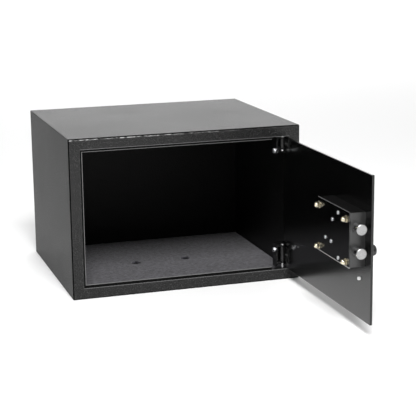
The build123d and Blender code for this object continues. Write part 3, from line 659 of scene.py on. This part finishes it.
def felt():
    """Needle-punched felt: grey fibres laid every way, with darker and lighter tufts."""
    material, tree, shader = start_material("needle_felt", Roughness=0.95, Specular_IOR_Level=0.15)
    shader.inputs["Sheen Weight"].default_value = 0.35
    shader.inputs["Sheen Roughness"].default_value = 0.5
    place = object_place(tree)
    warped = place_node(tree, "ShaderNodeTexNoise", None, {"Scale": 180.0, "Detail": 2.0})
    tree.links.new(place, warped.inputs["Vector"])
    bend = place_node(tree, "ShaderNodeVectorMath", {"operation": "SCALE"}, {"Scale": FIBRE_BEND})
    tree.links.new(warped.outputs["Color"], bend.inputs[0])
    laid = place_node(tree, "ShaderNodeVectorMath", {"operation": "ADD"})
    tree.links.new(place, laid.inputs[0])
    tree.links.new(bend.outputs[0], laid.inputs[1])
    across = noise_at(tree, laid.outputs[0], 900.0, 3.0, 0.7)
    tufts = noise_at(tree, place, 150.0, 3.0, 0.75)
    cloud = noise_at(tree, place, 22.0, 2.0, 0.5)
    fibres = plus(tree, times(tree, across, FIBRE_SHARE), times(tree, tufts, TUFT_SHARE))
    color = mix_color(tree, spread(tree, fibres, 0.42, 0.58), FELT_DARK, FELT_LIGHT)
    clouded = mix_color(tree, spread(tree, cloud, 0.3, 0.7, 0.0, 0.2), color, FELT_CLOUD)
    tree.links.new(clouded, shader.inputs["Base Color"])
    add_bump(tree, shader, fibres, FELT_DEPTH)
    return material


FELT = felt()
print("felt ready")

# %% [markdown]
# ## Dressing the frame's own pieces
# Most of the frame's solids already have the right shape, so they only get a finish. Their
# names say what they are, and a plain table gives each finish to the pieces that wear it.

# %% Give the frame its finishes
FINISHES = {
    "body_shell back_panel": BODY_PAINT,
    "front_frame": FRONT_PAINT,
    "door_stop_frame": SHADED_INNER_PAINT,
    "door_panel": DOOR_PAINT,
    "lock_case": CASE_PAINT,
    "lock_cover": COVER_PAINT,
    "lower_frame_bracket upper_frame_bracket lower_door_hinge upper_door_hinge": BRACKET,
    "locking_bolt_lower locking_bolt_upper": CHROME,
    "hinge_pins door_studs knob_spindle crank_clip solenoid_plunger plunger_spring": BRIGHT,
    "bracket_bolts bolt_screws bolt_carriage crank_arm solenoid_frame panel_screws": ZINC,
    "spindle_bush": BRASS,
    "override_barrel override_plug": NICKEL,
    "bolt_guides bolt_switch battery_holder override_cover reset_switch": BLACK_PLASTIC,
    "panel_housing": PANEL_PLASTIC,
    "knob": KNOB_PLASTIC,
    "reset_button": WHITE_PLASTIC,
    "lock_board keypad_board": BOARD,
    "solenoid_coil": COIL,
    "battery_cells": CELL,
    "ribbon_cable": RIBBON,
    "display_window": WINDOW,
    "status_lights": LENS,
}


def dress(name, material):
    """Puts a material on every slot of a frame piece."""
    slots = nodes[name].data.materials
    if not slots:
        slots.append(material)
    for index in range(len(slots)):
        slots[index] = material


key_names = sorted(name for name in nodes if name.startswith("key_"))
FINISHES[" ".join(key_names)] = KEY_PLASTIC
dressed = 0
for names, finish in FINISHES.items():
    for node_name in names.split():
        dress(node_name, finish)
        dressed += 1
print("dressed", dressed, "pieces")

# %% [markdown]
# ## Helpers for new pieces
# New pieces take their places from the frame. A node such as the cap nuts holds several separate
# solids, so one helper welds a copy of its mesh and reports the box of each solid. Another puts a
# finished mesh into the scene, at the origin, riding on its body.


# %% Boxes of separate solids
WELD = 1e-6


def solids_of(name):
    """(lowest, highest) corner of each separate solid in a frame node, lowest first."""
    work = bmesh.new()
    work.from_mesh(nodes[name].data)
    bmesh.ops.remove_doubles(work, verts=work.verts, dist=WELD)
    left = set(work.verts)
    boxes = []
    while left:
        queue = [left.pop()]
        island = [queue[0]]
        while queue:
            for edge in queue.pop().link_edges:
                for vert in edge.verts:
                    if vert in left:
                        left.remove(vert)
                        queue.append(vert)
                        island.append(vert)
        low = Vector(min(v.co[i] for v in island) for i in range(3))
        high = Vector(max(v.co[i] for v in island) for i in range(3))
        boxes.append((low, high))
    work.free()
    return sorted(boxes, key=lambda pair: (round(pair[0].z, 4), round(pair[0].y, 4)))


def middle_at(low, high, x):
    """The middle of a box's side, at a given X."""
    return Vector((x, (low.y + high.y) / 2, (low.z + high.z) / 2))


# %% Adding a piece
def add_piece(name, mesh, body, material, replaces=()):
    """Puts a finished mesh in the scene on its body, with its finish."""
    mesh.materials.clear()
    mesh.materials.append(material)
    piece = add_object(name, mesh)
    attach(piece, body)
    if replaces:
        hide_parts(*replaces)
    return piece


def settle(work, name, smooth_angle=35.0):
    """Closes a bmesh into a mesh whose faces point outwards, smooth except at sharp edges."""
    bmesh.ops.remove_doubles(work, verts=work.verts, dist=WELD)
    bmesh.ops.recalc_face_normals(work, faces=work.faces)
    limit = math.radians(smooth_angle)
    for face in work.faces:
        face.smooth = True
    for edge in work.edges:
        edge.smooth = len(edge.link_faces) == 2 and edge.calc_face_angle(0.0) < limit
    mesh = bpy.data.meshes.new(name)
    work.to_mesh(mesh)
    work.free()
    return mesh


def lathe(work, profile, steps):
    """Turns a profile of (radius, along) points about the X axis into a closed solid."""
    loops = []
    for radius, along in profile:
        count = steps if radius else 1
        angles = [2 * math.pi * i / steps for i in range(count)]
        loops.append([work.verts.new((along, radius * math.cos(a), radius * math.sin(a))) for a in angles])
    for first, second in zip(loops, loops[1:]):
        for i in range(steps):
            j = (i + 1) % steps
            pairs = ((first, i), (first, j), (second, j), (second, i))
            corners = list(dict.fromkeys(loop[k % len(loop)] for loop, k in pairs))
            if len(corners) > 2:
                work.faces.new(corners)


# %% [markdown]
# ## The felt mat
# A needle-felt mat lies loose on the floor of the safe. It is a sheet: a fine grid with the
# anchor holes cut through, given gentle waves and slightly ragged edges, then a thickness.

# %% Make the mat
MAT_STEP = 0.004
MAT_HOLE = 0.010
MAT_EDGE = 0.0006
WAVE_HEIGHT = 0.0004
LUMP_HEIGHT = 0.00018
RAG = 0.0005
UNDERSIDE = 0.0001
mat_low, mat_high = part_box("floor_mat")
anchor = next(m for m in frame["record"]["mounts"] if m["name"] == "floor_anchor_holes")
hole_gap = anchor["dims"]["spacing_x_mm"] * MM
hole_centres = [Vector((side * hole_gap / 2, anchor["pos_m"][1], 0)) for side in (-1, 1)]


def mat_surface(x, y):
    """Height of the mat's top: long shallow waves and small lumps."""
    wave = noise.noise(Vector((x * 9, y * 9, 0.3))) * WAVE_HEIGHT
    lump = noise.noise(Vector((x * 170, y * 170, 4.0))) * LUMP_HEIGHT
    return mat_high.z - MAT_EDGE + wave + lump


def make_mat():
    """The mat's top as a grid with two holes, then walls and a flat underside."""
    columns = round((mat_high.x - mat_low.x) / MAT_STEP)
    rows = round((mat_high.y - mat_low.y) / MAT_STEP)
    work = bmesh.new()
    grid = {}
    for i in range(columns + 1):
        for j in range(rows + 1):
            x = mat_low.x + (mat_high.x - mat_low.x) * i / columns
            y = mat_low.y + (mat_high.y - mat_low.y) * j / rows
            rag = noise.noise(Vector((x * 60, y * 60, 9.0))) * RAG
            if i in (0, columns):
                x += rag - math.copysign(MAT_EDGE, x)
            if j in (0, rows):
                y += rag - math.copysign(MAT_EDGE, y)
            flat = Vector((x, y, 0))
            nearest = min(hole_centres, key=lambda c: (flat - c).length)
            away = flat - nearest
            if away.length < MAT_HOLE - MAT_STEP * 0.5:
                continue
            if away.length < MAT_HOLE + MAT_STEP * 0.5:
                flat = nearest + away.normalized() * MAT_HOLE
            grid[i, j] = work.verts.new((flat.x, flat.y, mat_surface(flat.x, flat.y)))
    for i in range(columns):
        for j in range(rows):
            corners = [grid.get(key) for key in ((i, j), (i + 1, j), (i + 1, j + 1), (i, j + 1))]
            corners = [c for c in corners if c]
            if len(corners) > 2:
                work.faces.new(corners)
    rim = [e for e in work.edges if len(e.link_faces) == 1]
    walls = bmesh.ops.extrude_edge_only(work, edges=rim)
    lower = [v for v in walls["geom"] if isinstance(v, bmesh.types.BMVert)]
    for vert in lower:
        vert.co.z = mat_low.z + UNDERSIDE
    low_rim = [e for e in work.edges if e.is_boundary]
    bmesh.ops.triangle_fill(work, edges=low_rim, use_beauty=True)
    return settle(work, "felt_mat", 50.0)


mat = add_piece("felt_mat", make_mat(), "safe_body", FELT, ["floor_mat"])
print("mat:", len(mat.data.polygons), "faces")

# %% [markdown]
# ## Fasteners
# Cap nuts, cover screws and hinge screws repeat, so one Geometry Nodes tree places them all. It
# takes a template of unit size, stands it on each point, scales it by the tree's named sizes and
# gives each one its own turn from a fixed seed. The result is made real, because an export drops
# instances, and then turned into a plain mesh.


# %% The fastener tree
def fastener_tree():
    """Instances a template on points: inputs for its shape, sizes, turn seed and finish."""
    tree = bpy.data.node_groups.new("Fasteners", "GeometryNodeTree")
    wanted = [("Points", "NodeSocketGeometry"), ("Template", "NodeSocketObject"), ("Radius", FLOAT),
              ("Height", FLOAT), ("Turn Seed", "NodeSocketInt"), ("Finish", "NodeSocketMaterial")]
    for label, kind in wanted:
        tree.interface.new_socket(label, in_out="INPUT", socket_type=kind)
    tree.interface.new_socket("Geometry", in_out="OUTPUT", socket_type="NodeSocketGeometry")
    given = tree.nodes.new("NodeGroupInput")
    result = tree.nodes.new("NodeGroupOutput")
    shape = place_node(tree, "GeometryNodeObjectInfo", {"transform_space": "ORIGINAL"})
    sizes = tree.nodes.new("ShaderNodeCombineXYZ")
    turn = place_node(tree, "FunctionNodeRandomValue", {"data_type": "FLOAT"})
    turn.inputs[3].default_value = math.tau
    lean = tree.nodes.new("ShaderNodeCombineXYZ")
    stand = tree.nodes.new("GeometryNodeInstanceOnPoints")
    real = tree.nodes.new("GeometryNodeRealizeInstances")
    finish = tree.nodes.new("GeometryNodeSetMaterial")
    wires = (
        (given, "Template", shape, "Object"), (given, "Height", sizes, "X"),
        (given, "Radius", sizes, "Y"), (given, "Radius", sizes, "Z"),
        (given, "Turn Seed", turn, "Seed"), (turn, 1, lean, "X"),
        (given, "Points", stand, "Points"), (shape, "Geometry", stand, "Instance"),
        (sizes, "Vector", stand, "Scale"), (lean, "Vector", stand, "Rotation"),
        (stand, "Instances", real, "Geometry"), (real, "Geometry", finish, "Geometry"),
        (given, "Finish", finish, "Material"), (finish, "Geometry", result, "Geometry"))
    for source, outlet, target, inlet in wires:
        tree.links.new(source.outputs[outlet], target.inputs[inlet])
    return tree


FASTENERS = fastener_tree()


def plain_mesh(carrier, name):
    """The evaluated mesh of an object, free of its modifiers; the carrier is removed."""
    graph = bpy.context.evaluated_depsgraph_get()
    graph.update()
    mesh = bpy.data.meshes.new_from_object(carrier.evaluated_get(graph))
    mesh.name = name
    bpy.data.objects.remove(carrier)
    return mesh


def run_tree(tree, base_mesh, name, values):
    """Runs a Geometry Nodes tree over a mesh and returns the plain result."""
    carrier = add_object(name + "_carrier", base_mesh)
    modifier = carrier.modifiers.new("tree", "NODES")
    modifier.node_group = tree
    sockets = {s.name: s.identifier for s in tree.interface.items_tree if s.in_out == "INPUT"}
    for label, value in values.items():
        modifier[sockets[label]] = value
    return plain_mesh(carrier, name)


def points_mesh(places):
    """A mesh of loose points."""
    mesh = bpy.data.meshes.new("places")
    mesh.from_pydata([tuple(p) for p in places], [], [])
    return mesh


def fasten(name, unit_mesh, places, radius, height, seed, finish, node):
    """Stands a unit fastener on each place, instead of a frame node's plain heads."""
    shape = add_object(name + "_template", unit_mesh)
    mesh = run_tree(FASTENERS, points_mesh(places), name,
                    {"Template": shape, "Radius": radius, "Height": height, "Turn Seed": seed,
                     "Finish": finish})
    bpy.data.objects.remove(shape)
    add_piece(name, mesh, "door", finish, [node])
    print(name, len(places), "radius", round(radius, 5), "height", round(height, 5))


# %% [markdown]
# ### Cap nuts on the lock cover
# Four pale brass cap nuts hold the lock cover. Each has a pressed washer, a six-sided body whose
# corners are turned off, and a dome. The template points along minus X, away from the door.


# %% Cap nut template
NUT_WASHER = [(0.0, 0.0), (0.97, 0.0), (1.0, -0.02), (1.0, -0.1), (0.97, -0.12), (0.0, -0.12)]
NUT_RINGS = [(0.70, 0.12), (0.80, 0.155), (0.80, 0.5), (0.70, 0.545)]
DOME_FOOT = [(0.0, -0.5), (0.66, -0.5), (0.66, -0.56)]
DOME_RADIUS = 0.62
DOME_BASE = 0.58
DOME_RISE = 0.42
TURNED_STEPS = 32


def hexagon_points(radius, along):
    """Six corners of a ring at a height."""
    turns = [math.radians(60 * i + 30) for i in range(6)]
    return [Vector((-along, radius * math.cos(turn), radius * math.sin(turn))) for turn in turns]


def cap_nut_mesh():
    """Unit cap nut: radius 1 across the washer, height 1 from washer face to the dome's top."""
    work = bmesh.new()
    lathe(work, NUT_WASHER, 40)
    loops = [[work.verts.new(p) for p in hexagon_points(r, a)] for r, a in NUT_RINGS]
    for first, second in zip(loops, loops[1:]):
        for i in range(6):
            j = (i + 1) % 6
            work.faces.new([first[i], first[j], second[j], second[i]])
    work.faces.new(loops[0])
    work.faces.new(loops[-1])
    turns = [math.radians(a) for a in range(0, 90, 10)]
    dome = [(DOME_RADIUS * math.cos(t), -DOME_BASE - DOME_RISE * math.sin(t)) for t in turns]
    lathe(work, DOME_FOOT + dome + [(0.0, -1.0)], TURNED_STEPS)
    return settle(work, "cap_nut", 25.0)


nut_boxes = solids_of("cover_nuts")
nut_low, nut_high = nut_boxes[0]
nut_places = [middle_at(low, high, high.x) for low, high in nut_boxes]
fasten("cap_nuts", cap_nut_mesh(), nut_places, (nut_high.y - nut_low.y) / 2, nut_high.x - nut_low.x, 4,
       BRASS, "cover_nuts")

# %% [markdown]
# ### Pan-head screws
# Small screws with a cross recess hold the cover, in bright zinc, and the hinge leaves, in the
# dark finish of the hinges. The recess is cut into the template by a boolean, so it is a real
# hollow rather than a painted one.


# %% Pan screw template
CROSS_LONG = 0.56
CROSS_THIN = 0.13
CROSS_FLOOR = 0.2
CROSS_TAPER = 0.7
CROSS_TOP = -1.2
CROSS_DEEP = -0.35
PAN_FLAT = 0.62
PAN_ROUND = 0.38
PAN_SHOULDER = 0.4
PAN_RISE = 0.5
PAN_EDGE = [(0.0, 0.0), (1.0, 0.0), (1.0, -0.35)]
PAN_TOP = [(0.3, -0.98), (0.0, -1.0)]


def cross_cutter():
    """Two tapered bars that cross, for the driver's recess."""
    work = bmesh.new()
    sides = ((-1, -1), (1, -1), (1, 1), (-1, 1))
    wide = (CROSS_LONG, CROSS_THIN)
    deep = (CROSS_FLOOR, CROSS_THIN * CROSS_TAPER)
    for turned in (False, True):
        if turned:
            wide = wide[::-1]
            deep = deep[::-1]
        top = [work.verts.new((CROSS_TOP, a * wide[0], b * wide[1])) for a, b in sides]
        low = [work.verts.new((CROSS_DEEP, a * deep[0], b * deep[1])) for a, b in sides]
        work.faces.new(top)
        work.faces.new(low)
        for i in range(4):
            j = (i + 1) % 4
            work.faces.new([top[i], top[j], low[j], low[i]])
    bmesh.ops.recalc_face_normals(work, faces=work.faces)
    mesh = bpy.data.meshes.new("cross_cutter")
    work.to_mesh(mesh)
    work.free()
    return mesh


def pan_screw_mesh():
    """Unit pan head, radius 1 and height 1, standing out along minus X."""
    work = bmesh.new()
    turns = [math.radians(a) for a in range(0, 91, 15)]
    curve = [(PAN_FLAT + PAN_ROUND * math.cos(t), -PAN_SHOULDER - PAN_RISE * math.sin(t)) for t in turns]
    lathe(work, PAN_EDGE + curve + PAN_TOP, TURNED_STEPS)
    head = add_object("pan_head", settle(work, "pan_head", 40.0))
    cutter = add_object("pan_cutter", cross_cutter())
    cut = head.modifiers.new("recess", "BOOLEAN")
    cut.operation = "DIFFERENCE"
    cut.solver = "EXACT"
    cut.use_self = True
    cut.object = cutter
    mesh = plain_mesh(head, "pan_screw")
    bpy.data.objects.remove(cutter)
    return mesh


def screws_on(node, name, face, seed, finish):
    """Replaces a frame node's plain heads, which stand on a face, with cross-recessed ones."""
    boxes = solids_of(node)
    radius = max(high.y - low.y for low, high in boxes) / 2
    height = face - min(low.x for low, high in boxes)
    places = [middle_at(low, high, face) for low, high in boxes]
    fasten(name, pan_screw_mesh(), places, radius, height, seed, finish, node)


leaf_face = solids_of("hinge_leaf_screws")[0][1].x
screws_on("cover_screws", "cover_pan_screws", cover_low.x, 11, ZINC)
screws_on("hinge_leaf_screws", "hinge_pan_screws", leaf_face, 12, BRACKET)

# %% [markdown]
# ## Figures on the keys
# Each key carries a printed figure: the digits, a cross for clear, and a padlock for lock. A
# digit is a text object turned to a mesh and thickened a little, so that it stands off the cap
# like thick ink. On the open door the keys face plus X, and their tops point up.

# %% Text and flat shapes onto the door's outer face
FIGURE_HEIGHT = 0.0062
LETTER_SIZE = 1.35
INK = 0.00012


def face_basis(center, front_x):
    """Moves flat artwork, drawn in X and Y, onto the outer face of the open door."""
    turn = Matrix(((0, 0, 1), (1, 0, 0), (0, 1, 0))).to_4x4()
    return Matrix.Translation(Vector((front_x, center.y, center.z))) @ turn


def print_on(name, mesh, center, front_x, body):
    """Stands flat artwork on an outer face of the open door, in white ink."""
    mesh.transform(face_basis(center, front_x))
    add_piece(name, mesh, body, FIGURES)


def text_mesh(text, height):
    """A figure as a flat mesh, centred, of the given height."""
    curve = bpy.data.curves.new("figure", "FONT")
    curve.body = text
    curve.align_x = "CENTER"
    curve.align_y = "CENTER"
    curve.size = height * LETTER_SIZE
    curve.extrude = INK
    curve.resolution_u = 4
    mesh = plain_mesh(add_object("figure", curve), "figure")
    xs = [v.co.x for v in mesh.vertices]
    ys = [v.co.y for v in mesh.vertices]
    mesh.transform(Matrix.Translation((-(min(xs) + max(xs)) / 2, -(min(ys) + max(ys)) / 2, 0)))
    return mesh


def bar(work, x0, x1, y0, y1, turn=0.0):
    """A flat bar of ink, turned about the middle of the artwork."""
    spin = Matrix.Rotation(turn, 4, "Z")
    corners = [(x0, y0), (x1, y0), (x1, y1), (x0, y1)]
    low = [work.verts.new(spin @ Vector((x, y, -INK))) for x, y in corners]
    top = [work.verts.new(spin @ Vector((x, y, INK))) for x, y in corners]
    work.faces.new(low[::-1])
    work.faces.new(top)
    for i in range(4):
        j = (i + 1) % 4
        work.faces.new([low[i], low[j], top[j], top[i]])


def ring(work, center, inner, outer, start, stop, steps):
    """Part of a flat ring of ink, between two angles in degrees."""
    middle = Vector((center[0], center[1], 0))
    previous = None
    for k in range(steps + 1):
        angle = math.radians(start + (stop - start) * k / steps)
        way = Vector((math.cos(angle), math.sin(angle), 0))
        quad = [work.verts.new(middle + way * r + Vector((0, 0, z)))
                for r, z in ((inner, -INK), (outer, -INK), (outer, INK), (inner, INK))]
        if previous:
            for i in range(4):
                j = (i + 1) % 4
                work.faces.new([previous[i], previous[j], quad[j], quad[i]])
        else:
            work.faces.new(quad)
        previous = quad
    work.faces.new(previous)


def cross_mark():
    """The clear key's cross."""
    work = bmesh.new()
    for turn in (45, -45):
        bar(work, -0.0032, 0.0032, -0.0005, 0.0005, math.radians(turn))
    return settle(work, "cross_mark")


def padlock_mark():
    """The lock key's padlock: a body with a shackle."""
    work = bmesh.new()
    bar(work, -0.0025, 0.0025, -0.0028, 0.0008)
    ring(work, (0, 0.0008), 0.0012, 0.0019, 0, 180, 16)
    return settle(work, "padlock_mark")


for key_name in key_names:
    low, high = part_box(key_name)
    label = key_name.split("_")[1]
    drawn = {"clear": cross_mark, "lock": padlock_mark}.get(label)
    mesh = drawn() if drawn else text_mesh(label, FIGURE_HEIGHT)
    front_x = high.x + INK * 0.5
    print_on("figure_" + label, mesh, (low + high) / 2, front_x, "press_" + key_name)
print("figures on", len(key_names), "keys")

# %% [markdown]
# ## Marks and trim on the control panel
# The knob has a white pointer and the panel a dial arc with two stops. A bead frames the keys
# and the display. These are thin, so they are drawn flat and thickened, or swept as a bead.

# %% Knob pointer and dial marks
ARC_INNER = 0.0180
ARC_OUTER = 0.0186
DOT_REACH = 0.0208
DOT_RADIUS = 0.0009
DIAL_STOPS = (90, 180)
knob_axis = Vector(joints["knob_turn"]["pos_m"])
panel_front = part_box("display_window")[1].x


def dial_marks():
    """An arc a quarter turn long around the knob, with a dot at each stop."""
    work = bmesh.new()
    ring(work, (0, 0), ARC_INNER, ARC_OUTER, DIAL_STOPS[0], DIAL_STOPS[1], 24)
    for stop in DIAL_STOPS:
        angle = math.radians(stop)
        middle = (DOT_REACH * math.cos(angle), DOT_REACH * math.sin(angle))
        ring(work, middle, 0.0, DOT_RADIUS, 0, 360, 16)
    return settle(work, "dial_marks")


def pointer():
    """A white line inlaid on the knob's domed end."""
    work = bmesh.new()
    bar(work, -0.0006, 0.0006, 0.0003, 0.0043)
    return settle(work, "knob_pointer")


print_on("dial_marks", dial_marks(), knob_axis, panel_front + INK * 0.5, "door")
print_on("knob_pointer", pointer(), knob_axis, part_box("knob")[1].x, "knob_set")
print("dial marks and pointer at", [round(v, 4) for v in knob_axis])


# %% Bead round the keys and the display
BEAD_RADIUS = 0.0005
KEY_GAP = Vector((0, 0.0035, 0.0028))
WINDOW_GAP = Vector((0, 0.0016, 0.0016))
KEY_CORNER = 0.004
WINDOW_CORNER = 0.0012


def bead_mesh(name, low, high, corner, front_x):
    """A closed half-round bead along a rounded rectangle on the panel's face."""
    half_w = (high.y - low.y) / 2
    half_h = (high.z - low.z) / 2
    curve = bpy.data.curves.new(name, "CURVE")
    curve.dimensions = "3D"
    curve.bevel_depth = BEAD_RADIUS
    curve.bevel_resolution = 2
    line = curve.splines.new("POLY")
    points = []
    for cx, cy, start in ((1, 1, 0), (-1, 1, 90), (-1, -1, 180), (1, -1, 270)):
        for k in range(7):
            angle = math.radians(start + 15 * k)
            points.append(((half_w - corner) * cx + corner * math.cos(angle),
                           (half_h - corner) * cy + corner * math.sin(angle)))
    line.points.add(len(points) - 1)
    for point, (x, y) in zip(line.points, points):
        point.co = (x, y, 0, 1)
    line.use_cyclic_u = True
    mesh = plain_mesh(add_object(name, curve), name)
    mesh.transform(face_basis((low + high) / 2, front_x))
    return mesh


key_low = Vector(min(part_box(k)[0][i] for k in key_names) for i in range(3))
key_high = Vector(max(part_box(k)[1][i] for k in key_names) for i in range(3))
window_low, window_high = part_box("display_window")
beads = (("key_bead", key_low - KEY_GAP, key_high + KEY_GAP, KEY_CORNER),
         ("display_bead", window_low - WINDOW_GAP, window_high + WINDOW_GAP, WINDOW_CORNER))
for bead_name, low, high, corner in beads:
    mesh = bead_mesh(bead_name, low, high, corner, panel_front)
    add_piece(bead_name, mesh, "door", NICKEL)
print("beads round the keys and the display")
